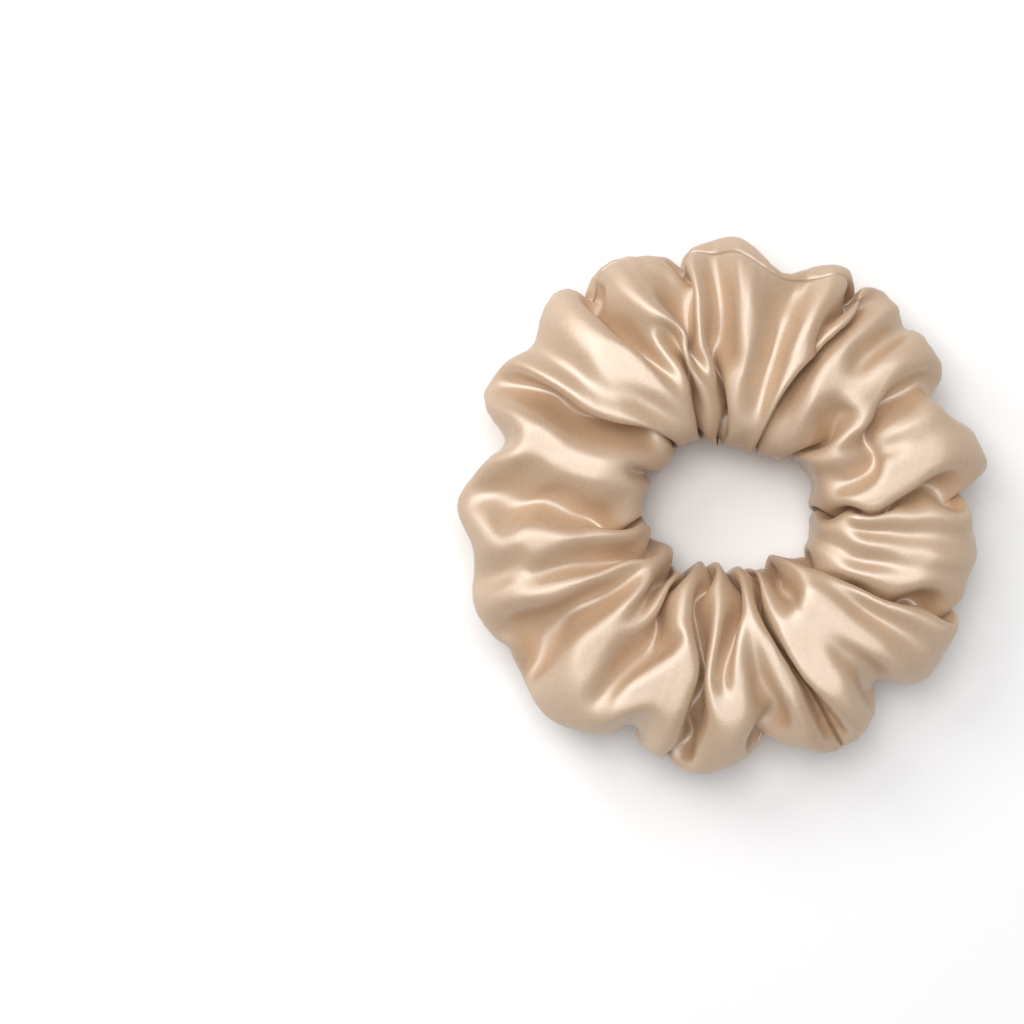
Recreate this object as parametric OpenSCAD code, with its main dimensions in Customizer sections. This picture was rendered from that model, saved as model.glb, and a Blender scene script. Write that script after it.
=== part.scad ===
// Scrunchie: a gathered satin tube closed into a ring round a flat elastic.
// The ring lies on the XY plane. Its left arc stays put, its right arc slides along +X as the
// loop is pulled open, and the short stretches between them spread out in proportion.
// The satin is drawn as its smooth envelope, without the gathers.

/* [Ring] */
// Outer diameter of the gathered ring, lying relaxed
ring_d = 131; // [110:1:150]
// Diameter of the opening that the hair goes through
opening_d = 40; // [32:1:48]
// Height of the ring, lying flat
ring_h = 36; // [32:1:44]
// Radius of the envelope's rounded corners
corner_r = 14; // [10:0.5:15]

/* [Satin] */
// Thickness of the gathered satin wall
wall_t = 1; // [0.6:0.1:1.6]
// Width of the raw edges turned inside along the lengthwise seam
allowance_w = 6; // [4:0.5:8]
// Thickness of the two raw edges sewn together
allowance_t = 0.8; // [0.5:0.1:1.2]
// Place of the closing seam round the ring, in degrees from +X
closing_angle = -60; // [-62:1:-47]
// Stitches round the closing seam
closing_stitches = 26; // [16:1:36]

/* [Elastic] */
// Width of the flat elastic
elastic_w = 8; // [5:0.5:10]
// Thickness of the flat elastic
elastic_t = 1.2; // [0.8:0.1:1.6]
// Gap between the opening's wall and the elastic
elastic_clear = 10; // [3:0.5:12]
// Length of the lap where the elastic's two ends are sewn together
lap_l = 12; // [8:1:14]
// Zigzag stitches across the lap
lap_stitches = 10; // [6:1:14]

/* [Thread] */
// Diameter of the sewing thread
thread_d = 0.5; // [0.3:0.05:0.7]

/* [Joints] */
// Short stretches of the ring in each arm, between the left and the right arc
arm_parts = 5; // [5:1:5]
// Angle that the left arc and the right arc each cover
end_arc = 90; // [80:1:100]
// Free angle between neighbouring stretches
part_gap = 0.8; // [0.6:0.1:1.5]

/* [Hidden] */
$fn = 96;
thread_fn = 24;

inner_r = opening_d / 2;
outer_r = ring_d / 2;
tube_w = outer_r - inner_r;
elastic_r = inner_r + wall_t + elastic_clear;

arm_arc = 180 - end_arc;
part_arc = arm_arc / arm_parts;

// The lengthwise seam runs along the outer rim, a little above its middle, and its raw edges
// point inwards.
seam_tilt = 10;
corner_x = outer_r - corner_r;
corner_z = ring_h - corner_r;
seam_reach = corner_r - wall_t;
thread_reach = seam_reach - 1.5;

// The lap lies in the right arc, on the side nearest to the closing seam.
lap_arc = lap_l / elastic_r * 180 / PI;
lap_from = -end_arc / 2 + part_gap / 2;
lap_to = lap_from + lap_arc;

// The angles between which a stretch of an arm lies: part 1 is next to the right arc.
function top_from(i) = end_arc / 2 + (i - 1) * part_arc;
function bottom_from(i) = -end_arc / 2 - i * part_arc;

// Sweeps a cross-section round the ring between two angles, less half a gap at each end.
module swept(from, to) {
    rotate([0, 0, from + part_gap / 2])
        rotate_extrude(angle = to - from - part_gap)
            children();
}

// A rectangle with round corners, by its lower left corner.
module round_rectangle(corner, size, r) {
    translate(corner) {
        translate([r, 0]) square([size[0] - 2 * r, size[1]]);
        translate([0, r]) square([size[0], size[1] - 2 * r]);
        for (x = [r, size[0] - r], z = [r, size[1] - r])
            translate([x, z]) circle(r);
    }
}

// The cross-section of the satin tube: the gathered wall and its raw edges inside.
module cover_section() {
    difference() {
        round_rectangle([inner_r, 0], [tube_w, ring_h], corner_r);
        round_rectangle(
            [inner_r + wall_t, wall_t],
            [tube_w - 2 * wall_t, ring_h - 2 * wall_t],
            corner_r - wall_t
        );
    }
    translate([corner_x, corner_z])
        rotate(seam_tilt)
            translate([seam_reach - allowance_w, -allowance_t / 2])
                square([allowance_w + wall_t / 2, allowance_t]);
}

module cover(from, to) {
    color("#d8b792") swept(from, to) cover_section();
}

module elastic(from, to, layer = 0) {
    color("#f2ece0")
        swept(from, to)
            translate([elastic_r + layer * elastic_t, (ring_h - elastic_w) / 2])
                square([elastic_t, elastic_w]);
}

// The needle thread and the bobbin thread, one on each side of the raw edges.
module seam_thread(from, to) {
    color("#c9a27c")
        swept(from, to)
            for (side = [-1, 1])
                translate([corner_x, corner_z])
                    rotate(seam_tilt)
                        translate([thread_reach, side * (allowance_t + thread_d) / 2])
                            circle(d = thread_d, $fn = thread_fn);
}

// The lapped end lies on the outside of the elastic's other end.
module elastic_lapped_end() {
    elastic(lap_from, lap_to, layer = 1);
}

// One straight stitch of thread between two points.
module stitch(a, b) {
    run = b - a;
    translate(a)
        rotate([0, acos(run[2] / norm(run)), atan2(run[1], run[0])])
            cylinder(h = norm(run), d = thread_d, $fn = thread_fn);
}

// A zigzag of separate stitches across the lap, on the elastic's inner face.
module elastic_join_thread() {
    face_r = elastic_r - thread_d / 2;
    half_zigzag = elastic_w / 2 - 1;
    step = (lap_arc - 2 * part_gap) / lap_stitches;
    needle_hole = 0.1;
    function zigzag_point(i) = [
        face_r * cos(lap_from + part_gap + i * step),
        face_r * sin(lap_from + part_gap + i * step),
        ring_h / 2 + (i % 2 == 0 ? -1 : 1) * half_zigzag
    ];
    color("#f7f3ea")
        for (i = [0 : lap_stitches - 1]) {
            run = zigzag_point(i + 1) - zigzag_point(i);
            stitch(
                zigzag_point(i) + needle_hole * run,
                zigzag_point(i + 1) - needle_hole * run
            );
        }
}

// A point on the inside of the satin wall, at an angle round the tube's corners.
function inside_point(turn, reach) = [
    (cos(turn) >= 0 ? corner_x : inner_r + corner_r) + reach * cos(turn),
    (sin(turn) >= 0 ? corner_z : corner_r) + reach * sin(turn)
];

// Short stitches lying along the ring on the inside of the satin, all round the closing seam.
module closing_seam_thread() {
    reach = corner_r - wall_t - thread_d / 2;
    stitch_l = 2;
    color("#c9a27c")
        rotate([0, 0, closing_angle])
            for (i = [0 : closing_stitches - 1]) {
                turn = (i + 0.5) * 360 / closing_stitches;
                p = inside_point(turn, reach);
                if (abs(turn - seam_tilt) > 360 / closing_stitches)
                    translate([p[0], stitch_l / 2, p[1]])
                        rotate([90, 0, 0])
                            cylinder(h = stitch_l, d = thread_d, $fn = thread_fn);
            }
}

cover(180 - end_arc / 2, 180 + end_arc / 2);  // cover_left
cover(-end_arc / 2, end_arc / 2);  // cover_right
elastic(180 - end_arc / 2, 180 + end_arc / 2);  // elastic_left
elastic(-end_arc / 2, end_arc / 2);  // elastic_right
seam_thread(180 - end_arc / 2, 180 + end_arc / 2);  // seam_thread_left
seam_thread(-end_arc / 2, end_arc / 2);  // seam_thread_right
for (i = [1 : arm_parts]) {
    cover(top_from(i), top_from(i + 1));
    cover(bottom_from(i), bottom_from(i - 1));
    elastic(top_from(i), top_from(i + 1));
    elastic(bottom_from(i), bottom_from(i - 1));
    seam_thread(top_from(i), top_from(i + 1));
    seam_thread(bottom_from(i), bottom_from(i - 1));
}
elastic_lapped_end();
closing_seam_thread();
elastic_join_thread();
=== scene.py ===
"""A large satin scrunchie lying flat, seen from straight above.

The satin is one strip of cloth. Its long edges are sewn into a tube, and the tube's two ends are
sewn together round a flat elastic. The gathers are laid out in FOLDS, and a cloth solver
then relaxes the strip to its cut size, with contact between its layers, the floor and the elastic.
"""
import math

import bpy
import numpy as np
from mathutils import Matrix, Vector


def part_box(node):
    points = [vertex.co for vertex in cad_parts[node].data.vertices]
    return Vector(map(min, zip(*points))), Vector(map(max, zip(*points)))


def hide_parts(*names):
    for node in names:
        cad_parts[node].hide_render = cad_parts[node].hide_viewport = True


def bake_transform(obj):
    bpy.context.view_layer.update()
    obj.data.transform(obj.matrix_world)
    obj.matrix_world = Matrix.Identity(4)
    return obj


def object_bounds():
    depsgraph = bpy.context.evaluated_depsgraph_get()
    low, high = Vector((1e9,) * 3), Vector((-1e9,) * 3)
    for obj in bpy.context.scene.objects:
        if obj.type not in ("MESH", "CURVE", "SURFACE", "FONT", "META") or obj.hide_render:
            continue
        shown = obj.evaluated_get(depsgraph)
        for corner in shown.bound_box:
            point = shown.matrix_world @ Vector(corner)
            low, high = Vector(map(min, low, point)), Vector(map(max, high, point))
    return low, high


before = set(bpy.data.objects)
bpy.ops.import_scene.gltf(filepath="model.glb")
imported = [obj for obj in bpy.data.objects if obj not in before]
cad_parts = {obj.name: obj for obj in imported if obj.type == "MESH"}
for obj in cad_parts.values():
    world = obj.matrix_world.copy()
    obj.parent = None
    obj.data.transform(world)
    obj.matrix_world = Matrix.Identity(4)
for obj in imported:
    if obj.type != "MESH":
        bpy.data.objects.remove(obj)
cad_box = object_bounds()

MM = 0.001
TURN = 2 * math.pi

# ---------------------------------------------------------------- sizes, in metres
RING_HEIGHT = cad_box[1].z
MID_HEIGHT = RING_HEIGHT / 2
ELASTIC_THICKNESS = 1.2 * MM
ELASTIC_WIDTH = 8 * MM
ELASTIC_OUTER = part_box("elastic_right")[1].x
ELASTIC_RADIUS = ELASTIC_OUTER - ELASTIC_THICKNESS / 2
LAP_FROM = math.radians(-44.6)  # the elastic's two ends overlap from here on
LAP_LENGTH = 12 * MM

# The strip of satin between its seams, and what is turned in beyond each seam.
CLOTH_LENGTH = 520 * MM
CLOTH_WIDTH = 136 * MM
ALLOWANCE_ROWS = 6      # rows of the mesh in the turned-in edge
FLOOR_GAP = 0.5 * MM
RING_MIDDLE = 42.5 * MM  # radius of the middle of the tube
TUBE_HALF = 22.5 * MM    # half of the tube's width
SQUARENESS = 0.92        # 1 is an elliptical section, and less is squarer

# ---------------------------------------------------------------- the laid-out form
# Outline of the ring from above: degrees round the ring from +X, radius in mm.
OUTER_EDGE = [
    (0, 59), (8, 65), (16, 63.5), (24, 57.5), (34, 63), (46, 64), (53, 65.5), (58, 63),
    (63, 65.5), (71, 63), (77, 60), (88, 66), (101, 62.5), (115, 66), (122, 64), (128, 66.5),
    (140, 62), (153, 65), (165, 57.5), (180, 65), (190, 62), (203, 65.5), (216, 63.5),
    (230, 67), (248, 61.5), (265, 65.5), (282, 59.5), (296, 66), (311, 61.5), (322, 65.5),
    (334, 63.5), (343, 61.5), (351, 63),
]
INNER_EDGE = [
    (0, 22.5), (15, 24), (28, 23.5), (40, 18.5), (60, 15), (80, 15.5), (95, 15.5), (107, 18),
    (120, 18.5), (140, 17.5), (158, 18.5), (175, 20.5), (190, 20.5), (205, 17.5), (222, 16),
    (236, 20.5), (252, 14.5), (264, 14.5), (274, 17.5), (286, 15.5), (300, 19), (312, 17),
    (328, 24), (345, 24),
]
# Where the lengthwise seam lies on the tube's section: degrees round the ring, degrees of section.
SEAM_WANDER = [(0, 5), (50, 12), (78, 42), (106, 14), (150, 0), (205, -10), (260, 4), (310, 10)]

# Section angles at which each fold is described: 0 outer rim, 90 top, 180 inner wall.
STATIONS = [0, 70, 90, 112, 144, 180, 360]
# Each fold: degrees round the ring at the first five stations, depth there in mm,
# half width in mm, and how far its bottom leans sideways as a share of its depth. The last one
# is a shallow hollow in the broad panel at the lower right.
FOLDS = [
    ([4, 3, 0.5, -2.5, -3], [10, 13, 11, 8, 9], 3.4, 0),
    ([18, 20, 20, 24, 30], [0, 2, 4, 3, 0], 6.0, 0),
    ([28, 30.5, 30, 14, 8], [6, 11, 11, 7, 0], 2.8, 0.4),
    ([46, 47, 44, 39, 36], [6, 8, 1, 8, 9], 5.0, 0),
    ([50, 53.5, 57, 58, 58.5], [2, 10, 14, 13, 10], 2.2, 0.7),
    ([58.5, 60, 61, 62, 63], [10, 7, 0, 0, 0], 2.6, 0),
    ([74, 73, 72, 71, 70], [4, 6, 9, 8, 2], 8.0, 0),
    ([93, 92, 92, 93, 91], [2, 8, 13, 13, 9], 6.0, 0),
    ([98, 98, 99, 101, 104], [0, 0, 2, 7, 9], 2.6, 0.4),
    ([101, 105, 110, 109, 108], [8, 11, 9, 2, 0], 2.4, -0.7),
    ([122.5, 117, 113, 113, 112], [8, 11, 7, 1, 0], 2.4, 0.7),
    ([140, 139, 136, 130, 126], [5, 4, 3, 2, 0], 9.0, 0),
    ([152, 151.5, 153, 150, 136], [4, 12, 14, 11, 9], 2.8, -0.6),
    ([165, 163, 162, 160, 158], [6, 2, 0, 0, 3], 6.0, 0),
    ([176, 178, 179, 182, 187], [4, 9, 11, 11, 9], 9.0, 0),
    ([197, 197, 197, 198, 201], [2, 3, 6, 9, 9], 3.0, 0.4),
    ([214, 214, 215, 216, 214], [4, 9, 11, 8, 0], 8.0, 0),
    ([223, 226, 229, 230, 231], [0, 0, 0, 4, 8], 3.0, 0),
    ([247, 244, 239, 238, 237], [4, 3, 8, 13, 10], 6.0, 0.2),
    ([258, 261, 261, 260, 258], [9, 15, 16, 14, 10], 3.0, 0),
    ([268, 268, 268, 271, 273], [0, 1, 5, 8, 9], 2.4, 0.4),
    ([282, 280, 279, 278, 279], [6, 6, 6, 4, 0], 7.0, 0),
    ([297.5, 293.5, 290, 286.5, 287], [5, 8, 10, 9, 8], 1.8, 0.2),
    ([311, 309, 307, 305, 305], [6, 5, 4, 2, 9], 9.0, 0),
    ([338, 335, 332, 331, 330], [8, 13, 14, 13, 10], 2.8, -0.6),
    ([344, 342, 341, 341, 342], [2, 3, 4, 4, 2], 3.0, 0),
    ([353, 351, 350, 351, 352], [5, 5, 5, 4, 0], 8.0, 0),
    ([324, 323, 321, 320, 320], [2, 4.5, 5.5, 2, 0], 8.0, 0),
]
CLOSING_FOLD = 22  # the fold that hides the closing seam
FOLD_ANGLE = np.array([f[0] for f in FOLDS], float)
FOLD_DEPTH = np.array([f[1] for f in FOLDS], float) * MM
FOLD_WIDTH = np.array([f[2] for f in FOLDS], float) * MM
FOLD_LEAN = np.array([f[3] for f in FOLDS], float)

# ---------------------------------------------------------------- solver settings
GRID = (340, 92)        # points along and round the tube while it relaxes
RELAX_STEPS = 260
INNER_GATHER = 0.42     # share of the strip's length taken up by fine gathers at the inner wall
RING_SAMPLES = 2400
FINE_GRID = (480, 136)  # points of the finished mesh


def smooth(t):
    """Eases from 0 to 1, level at both ends."""
    return t * t * (3 - 2 * t)


def round_ring(table, angle):
    """A smooth curve through (degrees, value) pairs that closes on itself."""
    at = np.radians([row[0] for row in table])
    value = np.array([row[1] for row in table], float)
    at = np.concatenate([at - TURN, at, at + TURN])
    value = np.tile(value, 3)
    i = np.clip(np.searchsorted(at, angle, "right") - 1, 0, len(at) - 2)
    t = smooth((angle - at[i]) / (at[i + 1] - at[i]))
    return value[i] * (1 - t) + value[i + 1] * t


def at_section(values, section):
    """Each fold's value at its own section angle, in degrees from 0 to 360."""
    columns = np.column_stack([values, values[:, -1], values[:, 0]])
    stations = np.array(STATIONS, float)
    i = np.clip(np.searchsorted(stations, section, "right") - 1, 0, len(stations) - 2)
    t = (section - stations[i]) / (stations[i + 1] - stations[i])
    under = i == len(stations) - 2
    t = np.where(under, smooth(t), t)
    k = np.arange(len(values))
    return columns[k, i] * (1 - t) + columns[k, i + 1] * t


def depth_limit(section):
    """The deepest that a fold can go before it meets the elastic or the far wall, in metres."""
    from_outside = np.minimum(section, 360 - section)
    return np.interp(from_outside, [0, 60, 110, 135, 152, 180], [12, 17, 17, 12, 8.4, 8.2]) * MM


def slow_part(values, waves):
    """The part of each row that changes slowly round the ring: its mean and first few waves."""
    spectrum = np.fft.rfft(values, axis=1)
    spectrum[:, waves + 1:] = 0
    return np.fft.irfft(spectrum, values.shape[1], axis=1)


def inner_wall(section):
    """How far a section angle lies on the ring's inner wall, from 0 to 1."""
    from_outside = 180 - np.abs(section - 180)
    return smooth(np.clip((from_outside - 30) / 150, 0, 1))


def gap_between(a, b):
    """The signed angle from b to a, the short way round."""
    return (a - b + math.pi) % TURN - math.pi


def next_gap(start, others, depth):
    """The angle from each fold to the next one that is deep enough to matter."""
    gap = (others[None, :] - start[:, None]) % TURN
    gap *= 1 + 4 * np.clip(1 - depth / (3 * MM), 0, 1)[None, :]
    np.fill_diagonal(gap, TURN)
    return np.minimum(gap.min(1), 1.0)


class Form:
    """The smooth envelope of the tube with the listed folds pressed into it."""

    def __init__(self):
        self.angle = np.arange(RING_SAMPLES) / RING_SAMPLES * TURN
        self.outer = round_ring(OUTER_EDGE, self.angle) * MM
        self.inner = round_ring(INNER_EDGE, self.angle) * MM
        self.seam = round_ring(SEAM_WANDER, self.angle)
        self.seam_at_fold = round_ring(SEAM_WANDER, np.radians(FOLD_ANGLE[:, 2]) % TURN)
        self.under_turn = 3.0 * np.sin(1.7 * np.arange(len(FOLDS)))

    def row(self, share, scale):
        """Points round the ring at one share of the tube's girth, with the folds scaled.

        A fold is a narrow dip that turns into one side of a round lobe near the inner wall.
        """
        section = (self.seam + 360 * share) % 360
        fold_section = (self.seam_at_fold + 360 * share) % 360
        turn = np.radians(section)
        across, up = np.cos(turn), np.sin(turn)
        box_across = np.sign(across) * np.abs(across) ** SQUARENESS
        box_up = np.sign(up) * np.abs(up) ** SQUARENESS
        base = (self.outer + self.inner) / 2 + (self.outer - self.inner) / 2 * box_across
        at = at_section(FOLD_ANGLE, fold_section)
        below = np.sin(np.radians(np.clip(fold_section - 180, 0, 180)))
        at = np.radians(at + self.under_turn * below)
        depth = at_section(FOLD_DEPTH, fold_section)
        away = gap_between(self.angle[None, :], at[:, None])
        ahead = next_gap(at, at, depth)
        behind = next_gap(-at, -at, depth)
        mean_radius = RING_MIDDLE + TUBE_HALF * np.cos(np.radians(fold_section))
        room = 0.24 * np.maximum(np.minimum(ahead, behind), 0.05) * mean_radius
        width = np.minimum(0.7 * FOLD_WIDTH, room)
        dip = np.exp(-0.5 * (away * base[None, :] / width[:, None]) ** 2)
        half = np.where(away > 0, ahead[:, None], behind[:, None]) / 2
        lobe = 1 - np.sqrt(1 - np.clip(1 - np.abs(away) / half, 0, 1) ** 2)
        from_outside = np.minimum(fold_section, 360 - fold_section)[:, None]
        lobed = smooth(np.clip((from_outside - 105) / 35, 0, 1))
        if scale > 1:
            scale = 1 + (scale - 1) * np.clip(depth / (8 * MM), 0, 1)[:, None]
        pressed = (depth[:, None] * scale * (dip + lobed * (lobe - dip))) ** 3
        total = pressed.sum(0)
        lean = (pressed * FOLD_LEAN[:, None]).sum(0) / (total + 1e-15)
        limit = depth_limit(section)
        deep = limit * np.tanh(total ** (1 / 3) / limit)
        radius = base - deep * across
        height = MID_HEIGHT + MID_HEIGHT * box_up - deep * up
        turned = self.angle + lean * deep / base * np.clip(up + 0.3, 0, 1)
        points = np.stack([radius * np.cos(turned), radius * np.sin(turned), height], -1)
        closing = at[CLOSING_FOLD] % TURN
        return points, closing, section

    def fitted_row(self, share, length):
        """The row with its folds scaled until it has the strip's length."""
        low, high = 0.0, 4.0
        for _ in range(11):
            scale = (low + high) / 2
            points, closing, section = self.row(share, scale)
            steps = np.linalg.norm(np.roll(points, -1, 0) - points, axis=1)
            if steps.sum() < length:
                low = scale
            else:
                high = scale
        return points, closing, section, steps

    def points(self, shape, length):
        """A grid of cloth points, evenly spaced along each row, starting at the closing seam."""
        along, around = shape
        rows = []
        for j in range(around):
            section = 360 * j / around
            gathered = 1 - INNER_GATHER * inner_wall(section)
            rows.append(self.fitted_row(j / around, length * gathered))
        uneven = np.array([self.share_of_length(row) - self.angle / TURN for row in rows])
        drift = slow_part(uneven - uneven.mean(0), 3)
        grid = np.zeros((along, around, 3))
        section_grid = np.zeros((along, around))
        for j, (points, closing, section, steps) in enumerate(rows):
            drift_at_seam = np.interp(closing, self.angle, drift[j])
            share = self.angle / TURN + uneven[j] - drift[j] + drift_at_seam
            share = np.maximum.accumulate(share)
            wanted = share[0] + (np.arange(along) / along - share[0]) % 1
            at = np.interp(wanted, np.append(share, share[0] + 1), np.append(self.angle, TURN))
            looped = np.vstack([points, points[:1]])
            for axis in range(3):
                grid[:, j, axis] = np.interp(at, np.append(self.angle, TURN), looped[:, axis])
            section_grid[:, j] = np.interp(at, self.angle, np.unwrap(section, period=360)) % 360
        grid[..., 2] = np.maximum(grid[..., 2], FLOOR_GAP)
        return grid, section_grid

    def share_of_length(self, row):
        """The share of the row's length that lies between the closing seam and each angle."""
        _, closing, _, steps = row
        distance = np.concatenate([[0], np.cumsum(steps)])
        start = np.interp(closing, np.append(self.angle, TURN), distance)
        return (distance[:-1] - start) / distance[-1]


class Solver:
    """Relaxes a grid of cloth that closes on itself both ways, by projective dynamics.

    The springs and the bending are equally stiff everywhere, so each global step is a division
    in Fourier space. Only the rest lengths differ, by rest_scale.
    """

    # How strongly each part pulls, with the springs along the threads as 1.
    STRETCH = 1.0
    SHEAR = 0.12
    INERTIA = 0.01
    HOLD = 0.05

    def __init__(self, points, spacing, bending, rest_scale):
        self.points = points
        self.shape = points.shape[:2]
        self.spacing = spacing
        self.rest_scale = rest_scale
        along = TURN * np.fft.fftfreq(self.shape[0])[:, None]
        around = TURN * np.fft.rfftfreq(self.shape[1])[None, :]
        mean = math.sqrt(spacing[0] * spacing[1])
        curl_u = 2 - 2 * np.cos(along)
        curl_v = 2 - 2 * np.cos(around)
        laplacian = curl_u * (mean / spacing[0]) ** 2 + curl_v * (mean / spacing[1]) ** 2
        shear = 4 - 2 * np.cos(along + around) - 2 * np.cos(along - around)
        total = self.INERTIA + self.HOLD + self.STRETCH * (curl_u + curl_v)
        total = total + self.SHEAR * shear + bending * laplacian ** 2
        self.inverse = (1 / total)[:, :, None]
        self.reach = 0.9 * min(spacing)

    def springs(self, points):
        """What all the springs ask for, each pulled or pushed to its rest length."""
        asked = np.zeros_like(points)
        diagonal = math.hypot(*self.spacing)
        families = [
            (1, 0, self.spacing[0] * self.rest_scale, self.STRETCH),
            (0, 1, self.spacing[1], self.STRETCH),
            (1, 1, diagonal * (1 + self.rest_scale) / 2, self.SHEAR),
            (1, -1, diagonal * (1 + self.rest_scale) / 2, self.SHEAR),
        ]
        for du, dv, rest, stiffness in families:
            run = np.roll(points, (-du, -dv), (0, 1)) - points
            length = np.sqrt((run * run).sum(-1))
            wanted = run * (stiffness * rest / np.maximum(length, 1e-9))[..., None]
            asked += np.roll(wanted, (du, dv), (0, 1)) - wanted
        return asked

    def solve(self, before, target):
        """One global step: the points that suit the springs, the bending and the target best."""
        right = self.INERTIA * before + self.HOLD * target + self.springs(target)
        waves = np.fft.rfft2(right, axes=(0, 1)) * self.inverse
        return np.fft.irfft2(waves, s=self.shape, axes=(0, 1))

    def find_neighbours(self, points):
        """Pairs of points that are close in space but not along the cloth."""
        flat = points.reshape(-1, 3)
        reach = 1.7 * self.reach
        cell = np.floor((flat - flat.min(0)) / reach).astype(np.int64) + 1
        size = cell.max(0) + 2
        key = (cell[:, 0] * size[1] + cell[:, 1]) * size[2] + cell[:, 2]
        order = np.argsort(key, kind="stable")
        ordered = key[order]
        steps = [(x, y, z) for x in (-1, 0, 1) for y in (-1, 0, 1) for z in (-1, 0, 1)]
        first, second = [], []
        for x, y, z in [s for s in steps if s >= (0, 0, 0)]:
            wanted = key + (x * size[1] + y) * size[2] + z
            start = np.searchsorted(ordered, wanted, "left")
            count = np.searchsorted(ordered, wanted, "right") - start
            i = np.repeat(np.arange(len(flat)), count)
            within = np.arange(len(i)) - np.repeat(np.cumsum(count) - count, count)
            j = order[np.repeat(start, count) + within]
            keep = j > i if (x, y, z) == (0, 0, 0) else np.ones(len(i), bool)
            i, j = i[keep], j[keep]
            keep = ((flat[i] - flat[j]) ** 2).sum(1) < reach ** 2
            first.append(i[keep])
            second.append(j[keep])
        i, j = np.concatenate(first), np.concatenate(second)
        along, around = self.shape
        du = np.abs(i // around - j // around)
        dv = np.abs(i % around - j % around)
        du = np.minimum(du, along - du) * self.spacing[0]
        dv = np.minimum(dv, around - dv) * self.spacing[1]
        far = du ** 2 + dv ** 2 > (2 * self.reach) ** 2
        self.pairs = i[far], j[far]

    def push_apart(self, points):
        """Layers that lie closer than the contact distance are pushed apart."""
        flat = points.reshape(-1, 3)
        i, j = self.pairs
        run = flat[i] - flat[j]
        length = np.sqrt((run * run).sum(1))
        touching = length < self.reach
        i, j, run, length = i[touching], j[touching], run[touching], length[touching]
        move = run * (0.5 * (self.reach - length) / np.maximum(length, 1e-9))[:, None]
        count = np.bincount(i, minlength=len(flat)) + np.bincount(j, minlength=len(flat))
        pushed = flat.copy()
        for axis in range(3):
            total = np.bincount(i, move[:, axis], len(flat)) - np.bincount(j, move[:, axis], len(flat))
            pushed[:, axis] += total / np.maximum(count, 1) ** 0.6
        return pushed.reshape(points.shape)


def scale_radius(points, wanted):
    """Moves the points along their own radius of the ring, in place."""
    radius = np.hypot(points[..., 0], points[..., 1])
    factor = wanted(radius) / np.maximum(radius, 1e-6)
    points[..., 0] *= factor
    points[..., 1] *= factor


def keep_in_envelope(points, form):
    """Eases points back inside the ring's outline and height, and off the elastic."""
    angle = np.arctan2(points[..., 1], points[..., 0]) % TURN
    at = (angle / TURN * RING_SAMPLES).astype(int) % RING_SAMPLES
    outer = form.outer[at] + FLOOR_GAP
    inner = form.inner[at] - FLOOR_GAP
    ease_in = 0.35
    ease_out = 0.5
    scale_radius(
        points,
        lambda r: r - ease_in * np.maximum(r - outer, 0) + ease_out * np.maximum(inner - r, 0),
    )
    points[..., 2] -= ease_in * np.maximum(points[..., 2] - RING_HEIGHT, 0)
    radius = np.hypot(points[..., 0], points[..., 1])
    off = radius - ELASTIC_RADIUS
    over = points[..., 2] - MID_HEIGHT
    clear_off, clear_over = 2.2 * MM, 5.6 * MM
    inside = np.sqrt((off / clear_off) ** 2 + (over / clear_over) ** 2)
    push = 0.6 * (1 / np.clip(inside, 0.001, 1) - 1)
    points[..., 2] += push * over
    scale_radius(points, lambda r: r + push * off)
    points[..., 2] = np.maximum(points[..., 2], FLOOR_GAP)


def relaxed_cloth():
    """The strip of satin, gathered round the elastic and lying on the floor."""
    form = Form()
    slightly_short = 0.98
    laid, section = form.points(GRID, slightly_short * CLOTH_LENGTH)
    spacing = (CLOTH_LENGTH / GRID[0], CLOTH_WIDTH / GRID[1])
    solver = Solver(laid, spacing, bending=0.1, rest_scale=1 - INNER_GATHER * inner_wall(section))
    points = laid.copy()
    last = laid.copy()
    gravity = 2e-6
    momentum = 0.85
    for step in range(RELAX_STEPS):
        ahead = points + momentum * (points - last)
        ahead[..., 2] -= gravity
        last = points
        if step % 5 == 0:
            solver.find_neighbours(ahead)
        target = solver.push_apart(ahead)
        keep_in_envelope(target, form)
        # The laid-out form holds the cloth firmly at first, and hardly at all in the end.
        fade = max(0, 1 - step / RELAX_STEPS / 0.6) ** 2
        guide = 0.035 + 0.265 * fade
        target += guide * (laid - target)
        points = solver.push_apart(solver.solve(ahead, target))
        points[..., 2] = np.maximum(points[..., 2], FLOOR_GAP)
    return points


def finer(points, shape):
    """The same closed surface on a finer grid, by padding its Fourier series with zeros."""
    along, around = points.shape[:2]
    waves = np.fft.fft2(points, axes=(0, 1))
    padded = np.zeros((*shape, 3), complex)
    u = np.fft.fftfreq(along, 1 / along).astype(int)
    v = np.fft.fftfreq(around, 1 / around).astype(int)
    padded[np.ix_(u % shape[0], v % shape[1])] = waves
    return np.fft.ifft2(padded, axes=(0, 1)).real * (shape[0] * shape[1] / (along * around))


def outward(points):
    """Unit normals of a grid that closes on itself, pointing out of the tube."""
    du = np.roll(points, -1, 0) - np.roll(points, 1, 0)
    dv = np.roll(points, -1, 1) - np.roll(points, 1, 1)
    normal = np.cross(du, dv)
    return normal / np.maximum(np.linalg.norm(normal, axis=-1, keepdims=True), 1e-12)


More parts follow.
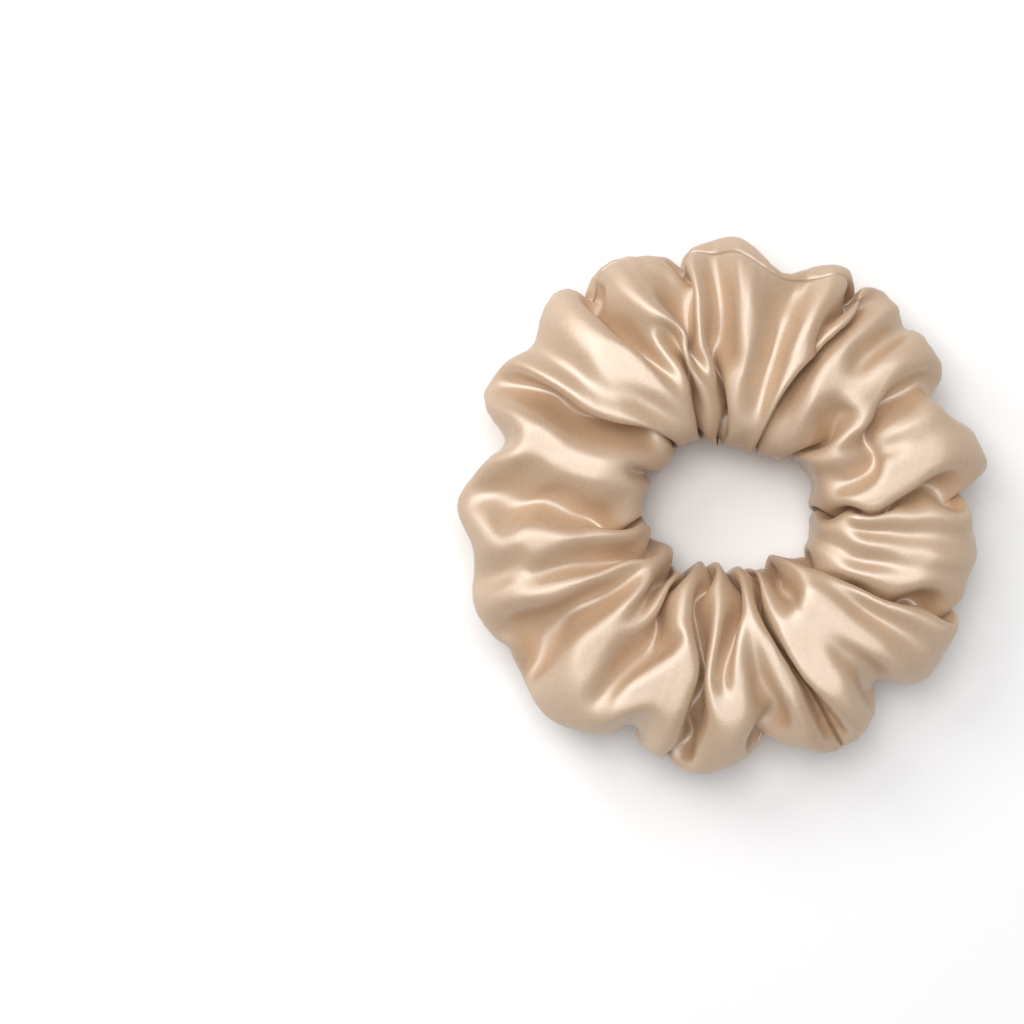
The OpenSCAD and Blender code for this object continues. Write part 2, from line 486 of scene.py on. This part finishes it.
def turned_under(points, normals, axis, rows):
    """Opens a closed grid along its first row and turns both edges in, to lie under the cloth."""
    points = np.moveaxis(points, axis, 0)
    normals = np.moveaxis(normals, axis, 0)
    body = np.concatenate([points, points[:1]])
    body_normals = np.concatenate([normals, normals[:1]])
    drop = np.array([0.7] + [0.9] * (rows - 1))[:, None, None] * MM
    k = np.arange(1, rows + 1) - 0.6
    low = np.floor(k).astype(int)
    part = (k - low)[:, None, None]
    first = body[low] * (1 - part) + body[low + 1] * part - body_normals[low] * drop
    last = body[-1 - low] * (1 - part) + body[-2 - low] * part - body_normals[-1 - low] * drop
    opened = np.concatenate([first[::-1], body, last])
    opened_normals = np.concatenate([body_normals[low][::-1], body_normals, body_normals[-1 - low]])
    return np.moveaxis(opened, 0, axis), np.moveaxis(opened_normals, 0, axis)


def press_seam(points, normals, axis, length):
    """Sinks a shallow groove along the first row, with fine puckers on both sides of it."""
    groove_depth, groove_width = 0.32 * MM, 0.9 * MM
    pucker_height, pucker_reach = 0.24 * MM, 4 * MM
    count = points.shape[axis]
    step = length / count
    i = np.arange(count)
    away = np.minimum(i, count - i) * step
    shape = [1, 1]
    shape[axis] = count
    away = away.reshape(shape)
    other = 1 - axis
    run = np.arange(points.shape[other])
    wave = np.sin(run * 1.71 + 1.6 * np.sin(run * 0.23)) * (0.7 + 0.3 * np.sin(run * 0.11))
    shape = [1, 1]
    shape[other] = len(run)
    wave = wave.reshape(shape)
    groove = -groove_depth * np.exp(-(away / groove_width) ** 2)
    beside = 1 - np.exp(-(away / MM) ** 2)
    pucker = pucker_height * wave * np.exp(-away / pucker_reach) * beside
    return points + normals * (groove + pucker)[..., None]


def grid_faces(rows, columns):
    """The quads of an open grid of points."""
    i, j = np.meshgrid(np.arange(rows - 1), np.arange(columns - 1), indexing="ij")
    corner = (i * columns + j).ravel()
    return np.stack([corner, corner + columns, corner + columns + 1, corner + 1], -1)


def new_mesh(name, vertices, faces, material):
    mesh = bpy.data.meshes.new(name)
    mesh.from_pydata(np.asarray(vertices).tolist(), [], [list(face) for face in faces])
    mesh.polygons.foreach_set("use_smooth", [True] * len(mesh.polygons))
    mesh.materials.append(material)
    mesh.update()
    piece = bpy.data.objects.new(name, mesh)
    bpy.context.scene.collection.objects.link(piece)
    return piece


def add_uv(piece, name, coordinates):
    """Gives the mesh a UV map from one (u, v) pair for each vertex."""
    layer = piece.data.uv_layers.new(name=name)
    loops = np.zeros(len(piece.data.loops), int)
    piece.data.loops.foreach_get("vertex_index", loops)
    layer.data.foreach_set("uv", np.asarray(coordinates)[loops].ravel())


def tube_along(path, radius, sides=8, closed=False):
    """Vertices and faces of a round tube along a line of points, its open ends capped."""
    path = np.asarray(path, float)
    if closed:
        run = np.roll(path, -1, 0) - np.roll(path, 1, 0)
    else:
        run = np.gradient(path, axis=0)
    run /= np.linalg.norm(run, axis=1, keepdims=True)
    side = np.cross(run, [0.0, 0.0, 1.0])
    side += np.cross(run, [0.0, 0.2, 0.1])
    side /= np.linalg.norm(side, axis=1, keepdims=True)
    other = np.cross(run, side)
    turn = np.arange(sides) / sides * TURN
    ring = np.cos(turn)[None, :, None] * side[:, None] + np.sin(turn)[None, :, None] * other[:, None]
    vertices = (path[:, None] + radius * ring).reshape(-1, 3)
    faces = []
    count = len(path)
    for i in range(count if closed else count - 1):
        for k in range(sides):
            a = i * sides + k
            b = i * sides + (k + 1) % sides
            c = (i + 1) % count * sides
            faces.append([a, b, c + (k + 1) % sides, c + k])
    if not closed:
        faces.append(list(range(sides))[::-1])
        faces.append([(count - 1) * sides + k for k in range(sides)])
    return vertices, faces


def join_parts(parts):
    """One list of vertices and one of faces from several such pairs."""
    vertices, faces, offset = [], [], 0
    for part_vertices, part_faces in parts:
        vertices.append(part_vertices)
        faces += [[v + offset for v in face] for face in part_faces]
        offset += len(part_vertices)
    return np.concatenate(vertices).tolist(), faces


# ---------------------------------------------------------------- materials
class Nodes:
    """Short names for making a material's nodes."""

    def __init__(self, name):
        self.material = bpy.data.materials.new(name)
        self.material.use_nodes = True
        self.tree = self.material.node_tree
        self.shader = self.tree.nodes["Principled BSDF"]

    def add(self, kind, **settings):
        node = self.tree.nodes.new(kind)
        for key, value in settings.items():
            if hasattr(node, key):
                setattr(node, key, value)
            else:
                node.inputs[key.replace("_", " ")].default_value = value
        return node

    def link(self, out, into):
        self.tree.links.new(out, into)

    def stretched(self, source, scale):
        mapping = self.add("ShaderNodeMapping")
        mapping.inputs["Scale"].default_value = scale
        self.link(source, mapping.inputs["Vector"])
        return mapping.outputs["Vector"]

    def noise(self, source, scale, detail=2.0, roughness=0.5):
        node = self.add("ShaderNodeTexNoise")
        node.inputs["Scale"].default_value = scale
        node.inputs["Detail"].default_value = detail
        node.inputs["Roughness"].default_value = roughness
        self.link(source, node.inputs["Vector"])
        return node.outputs["Fac"]

    def ramp(self, source, low, high, at=(0.3, 0.7)):
        node = self.add("ShaderNodeValToRGB")
        node.color_ramp.elements[0].position = at[0]
        node.color_ramp.elements[1].position = at[1]
        node.color_ramp.elements[0].color = (*low, 1)
        node.color_ramp.elements[1].color = (*high, 1)
        self.link(source, node.inputs["Fac"])
        return node.outputs["Color"]

    def mix(self, mode, factor, a, b):
        node = self.add("ShaderNodeMix", data_type="RGBA", blend_type=mode)
        node.inputs[0].default_value = factor
        self.link(a, node.inputs[6])
        self.link(b, node.inputs[7])
        return node.outputs[2]

    def bump(self, height, strength, distance, normal=None):
        node = self.add("ShaderNodeBump")
        node.inputs["Strength"].default_value = strength
        node.inputs["Distance"].default_value = distance
        self.link(height, node.inputs["Height"])
        if normal is not None:
            self.link(normal, node.inputs["Normal"])
        return node.outputs["Normal"]


def satin():
    """Champagne satin with fine floats along the strip and a gleam drawn out by the weave."""
    n = Nodes("satin")
    uv = n.add("ShaderNodeUVMap", uv_map="cloth").outputs["UV"]
    tangent = n.add("ShaderNodeTangent", direction_type="UV_MAP", uv_map="cloth").outputs["Tangent"]
    # The UV map is in metres of cloth, so a scale is in features per metre.
    floats = n.noise(n.stretched(uv, (500, 3300, 1)), 1.0, 2.0)
    weft = n.noise(n.stretched(uv, (2600, 900, 1)), 1.0, 1.0)
    patches = n.noise(uv, 30, 2.0)
    crinkle = n.noise(n.stretched(uv, (64, 38, 1)), 1.0, 2.0)
    tone = n.ramp(patches, (0.570, 0.368, 0.220), (0.630, 0.424, 0.268))
    streak = n.ramp(floats, (0.88, 0.865, 0.85), (1.02, 1.02, 1.02))
    colour = n.mix("MULTIPLY", 1.0, tone, streak)
    n.link(colour, n.shader.inputs["Base Color"])
    rough = n.ramp(patches, (0.45,) * 3, (0.53,) * 3)
    n.link(rough, n.shader.inputs["Roughness"])
    normal = n.bump(crinkle, 0.32, 1.2 * MM)
    normal = n.bump(weft, 0.22, 0.05 * MM, normal)
    normal = n.bump(floats, 0.75, 0.06 * MM, normal)
    n.link(normal, n.shader.inputs["Normal"])
    n.link(tangent, n.shader.inputs["Tangent"])
    n.shader.inputs["Metallic"].default_value = 0.12
    n.shader.inputs["IOR"].default_value = 1.95
    n.shader.inputs["Specular IOR Level"].default_value = 1.0
    n.shader.inputs["Specular Tint"].default_value = (0.94, 1.0, 0.99, 1)
    n.shader.inputs["Anisotropic"].default_value = 0.65
    n.shader.inputs["Anisotropic Rotation"].default_value = 0.25
    n.shader.inputs["Coat Weight"].default_value = 0.2
    n.shader.inputs["Coat IOR"].default_value = 1.75
    n.shader.inputs["Coat Roughness"].default_value = 0.5
    n.shader.inputs["Sheen Weight"].default_value = 0.1
    n.shader.inputs["Sheen Roughness"].default_value = 0.35
    n.shader.inputs["Sheen Tint"].default_value = (1.0, 0.93, 0.85, 1)
    return n.material


def knitted_elastic():
    """Off-white knitted tape."""
    n = Nodes("knitted_elastic")
    uv = n.add("ShaderNodeUVMap", uv_map="tape").outputs["UV"]
    knit = n.noise(n.stretched(uv, (1500, 900, 1)), 1.0, 2.0)
    fuzz = n.noise(uv, 4000, 2.0)
    n.link(n.ramp(knit, (0.70, 0.66, 0.58), (0.86, 0.83, 0.76)), n.shader.inputs["Base Color"])
    n.link(n.ramp(fuzz, (0.8,) * 3, (0.95,) * 3), n.shader.inputs["Roughness"])
    normal = n.bump(knit, 0.5, 0.15 * MM)
    n.link(n.bump(fuzz, 0.3, 0.05 * MM, normal), n.shader.inputs["Normal"])
    n.shader.inputs["Sheen Weight"].default_value = 0.3
    return n.material


def thread(name, low, high):
    """Twisted sewing thread between a dark and a light colour."""
    n = Nodes(name)
    place = n.add("ShaderNodeTexCoord").outputs["Object"]
    twist = n.add("ShaderNodeTexWave", bands_direction="DIAGONAL")
    twist.inputs["Scale"].default_value = 900
    twist.inputs["Distortion"].default_value = 1.5
    n.link(place, twist.inputs["Vector"])
    n.link(n.ramp(twist.outputs["Fac"], low, high), n.shader.inputs["Base Color"])
    n.link(n.ramp(twist.outputs["Fac"], (0.45,) * 3, (0.6,) * 3), n.shader.inputs["Roughness"])
    n.link(n.bump(twist.outputs["Fac"], 0.6, 0.05 * MM), n.shader.inputs["Normal"])
    n.shader.inputs["Sheen Weight"].default_value = 0.2
    return n.material


# ---------------------------------------------------------------- pieces
ARM_PARTS = 5
COVER_NODES = ["cover_left", "cover_right"]
COVER_NODES += [f"cover_{arm}_{i + 1}" for arm in ("top", "bottom") for i in range(ARM_PARTS)]
ELASTIC_NODES = [n.replace("cover", "elastic") for n in COVER_NODES] + ["elastic_lapped_end"]
SEAM_NODES = [n.replace("cover", "seam_thread") for n in COVER_NODES]


def stretch_with_loop(piece):
    """Bakes the piece's transform into its mesh."""
    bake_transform(piece)


def make_cover(points, normals):
    """The strip of satin, its seams pressed and its raw edges turned in."""
    points = press_seam(points, normals, 1, CLOTH_WIDTH)
    points = press_seam(points, normals, 0, CLOTH_LENGTH)
    rows = ALLOWANCE_ROWS
    opened, opened_normals = turned_under(points, normals, 1, rows)
    opened, opened_normals = turned_under(opened, opened_normals, 0, rows)
    along, around = opened.shape[:2]
    piece = new_mesh("satin_cover", opened.reshape(-1, 3), grid_faces(along, around), satin())
    u = (np.arange(along) - rows) * CLOTH_LENGTH / FINE_GRID[0]
    v = (np.arange(around) - rows) * CLOTH_WIDTH / FINE_GRID[1]
    add_uv(piece, "cloth", np.stack(np.meshgrid(u, v, indexing="ij"), -1).reshape(-1, 2))
    return piece


def make_seam_thread(points, normals, material):
    """Lockstitches along the inside of the lengthwise seam."""
    depth_inside = 1.6 * MM
    stitch_dip = 0.12 * MM
    stitch_rows = 2.5
    line = points[:, 0] - normals[:, 0] * depth_inside
    dip = stitch_dip * np.sin(np.arange(len(line)) * TURN / stitch_rows)
    line = line - normals[:, 0] * dip[:, None]
    vertices, faces = tube_along(line, 0.2 * MM, closed=True)
    return new_mesh("long_seam_thread", vertices, faces, material)


def make_closing_thread(points, normals, material):
    """Short stitches across the closing seam, on the inside of the satin."""
    depth_inside = 1.7 * MM
    count = 26
    around = points.shape[1]
    parts = []
    for k in range(count):
        j = int((k + 0.5) * around / count)
        path = [points[i, j] - normals[i, j] * depth_inside for i in (-1, 0, 1)]
        parts.append(tube_along(path, 0.22 * MM))
    vertices, faces = join_parts(parts)
    return new_mesh("closing_stitches", vertices, faces, material)


def make_elastic(material):
    """A flat knitted tape closed into a ring, its two ends lapped, with ribs along it."""
    lap = LAP_LENGTH / ELASTIC_RADIUS
    count = 420
    t = np.arange(count) / (count - 1)
    angle = LAP_FROM + t * (TURN + lap)
    # The last end climbs on to the first one, a little before the lap.
    climb = np.clip((angle - (LAP_FROM + TURN - 0.35)) / 0.3, 0, 1)
    radius = ELASTIC_RADIUS + 1.02 * ELASTIC_THICKNESS * smooth(climb)
    ribs = 9
    across = 45
    s = np.linspace(-1, 1, across)
    bulge = 0.5 * ELASTIC_THICKNESS * (1 - np.abs(s) ** 8) * (0.82 + 0.18 * np.cos(s * math.pi * ribs))
    profile_out = np.stack([bulge, s * ELASTIC_WIDTH / 2], -1)
    profile_in = np.stack([-bulge[::-1][1:-1], s[::-1][1:-1] * ELASTIC_WIDTH / 2], -1)
    profile = np.concatenate([profile_out, profile_in])
    sides = len(profile)
    knit = 1 + 0.03 * np.sin(np.arange(count) * 2.4)
    r = radius[:, None] + profile[None, :, 0] * knit[:, None]
    z = MID_HEIGHT + np.broadcast_to(profile[None, :, 1], r.shape)
    vertices = np.stack([r * np.cos(angle)[:, None], r * np.sin(angle)[:, None], z], -1)
    faces = []
    for i in range(count - 1):
        for k in range(sides):
            a, b = i * sides + k, i * sides + (k + 1) % sides
            faces.append([a, a + sides, b + sides, b])
    faces.append(list(range(sides)))
    faces.append([(count - 1) * sides + k for k in range(sides)][::-1])
    piece = new_mesh("elastic_band", vertices.reshape(-1, 3), faces, material)
    u = np.broadcast_to((angle * ELASTIC_RADIUS)[:, None], r.shape)
    v = np.broadcast_to(np.linspace(0, 2 * ELASTIC_WIDTH, sides)[None, :], r.shape)
    add_uv(piece, "tape", np.stack([u, v], -1).reshape(-1, 2))
    return piece


def make_join_thread(material):
    """A zigzag of stitches through the elastic's lap, on its inner face."""
    stitches = 10
    lap = LAP_LENGTH / ELASTIC_RADIUS
    inner = ELASTIC_RADIUS - ELASTIC_THICKNESS / 2 - 0.12 * MM
    parts = []
    for k in range(stitches):
        ends = []
        for m in (k, k + 1):
            angle = LAP_FROM + 0.03 + m * (lap - 0.06) / stitches
            height = MID_HEIGHT + (1 if m % 2 else -1) * 3 * MM
            ends.append(np.array([inner * math.cos(angle), inner * math.sin(angle), height]))
        sink = np.array([0, 0.35, 0.9, 1, 0.9, 0.35, 0])[:, None] * 0.15 * MM
        share = np.linspace(0.05, 0.95, 7)[:, None]
        path = ends[0] * (1 - share) + ends[1] * share
        inward = -path * [1, 1, 0] / np.linalg.norm(path[:, :2], axis=1, keepdims=True)
        parts.append(tube_along(path + inward * sink, 0.2 * MM))
    vertices, faces = join_parts(parts)
    return new_mesh("elastic_zigzag_thread", vertices, faces, material)


def make_object():
    """Makes the five pieces and hides the CAD nodes that each one stands for."""
    points = finer(relaxed_cloth(), FINE_GRID)
    points[..., 2] = np.maximum(points[..., 2], 0.2 * MM)
    normals = outward(points)
    middle = points.mean(1, keepdims=True)
    if ((points - middle) * normals).sum() < 0:
        normals = -normals
    cover = make_cover(points, normals)
    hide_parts(*COVER_NODES)
    seam_colour = thread("seam_thread", (0.42, 0.26, 0.16), (0.62, 0.42, 0.29))
    seam = make_seam_thread(points, normals, seam_colour)
    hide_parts(*SEAM_NODES)
    closing = make_closing_thread(points, normals, seam_colour)
    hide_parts("closing_seam_thread")
    elastic = make_elastic(knitted_elastic())
    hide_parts(*ELASTIC_NODES)
    join = make_join_thread(thread("elastic_thread", (0.75, 0.72, 0.66), (0.9, 0.88, 0.83)))
    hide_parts("elastic_join_thread")
    for piece in (cover, seam, closing, elastic, join):
        stretch_with_loop(piece)


# ---------------------------------------------------------------- floor, light and camera
def make_floor():
    """A sheet of pale paper."""
    bpy.ops.mesh.primitive_plane_add(size=4)
    floor = bpy.context.object
    floor.name = "floor"
    n = Nodes("pale_paper")
    place = n.add("ShaderNodeTexCoord").outputs["Object"]
    tone = n.ramp(n.noise(place, 3), (0.94, 0.94, 0.945), (0.96, 0.96, 0.965))
    n.link(tone, n.shader.inputs["Base Color"])
    n.shader.inputs["Roughness"].default_value = 0.8
    floor.data.materials.append(n.material)


def area_light(name, place, aim, size, power, colour=(1, 1, 1)):
    """A square lamp of some metres' size, in watts, that faces a point."""
    light = bpy.data.lights.new(name, "AREA")
    light.size = size
    light.energy = power
    light.color = colour
    lamp = bpy.data.objects.new(name, light)
    lamp.location = place
    lamp.rotation_mode = "QUATERNION"
    lamp.rotation_quaternion = (Vector(aim) - Vector(place)).to_track_quat("-Z", "Y")
    bpy.context.scene.collection.objects.link(lamp)


def make_light():
    """A soft white studio: a key lamp at the upper left and a large lamp overhead."""
    world = bpy.data.worlds.new("studio")
    world.use_nodes = True
    world.node_tree.nodes["Background"].inputs["Color"].default_value = (1, 1, 1, 1)
    world.node_tree.nodes["Background"].inputs["Strength"].default_value = 0.38
    bpy.context.scene.world = world
    aim = (0, 0, 0.02)
    area_light("key", (-0.5, 0.5, 0.75), aim, size=0.45, power=3.4, colour=(1, 0.98, 0.95))
    area_light("overhead", (-0.16, 0.19, 1.2), aim, size=0.6, power=8.4)
    bpy.context.scene.view_settings.view_transform = "Standard"


def make_camera():
    """Straight above, with the ring to the right of the frame's centre."""
    lens = 100
    sensor = 36
    frame_width = 0.254
    data = bpy.data.cameras.new("camera")
    data.lens = lens
    data.sensor_width = sensor
    camera = bpy.data.objects.new("camera", data)
    distance = frame_width * lens / sensor
    middle_x, middle_y = -0.0521, -0.0015
    camera.location = (middle_x, middle_y, MID_HEIGHT + distance)
    bpy.context.scene.collection.objects.link(camera)
    bpy.context.scene.camera = camera


make_camera()
make_light()
make_floor()
make_object()
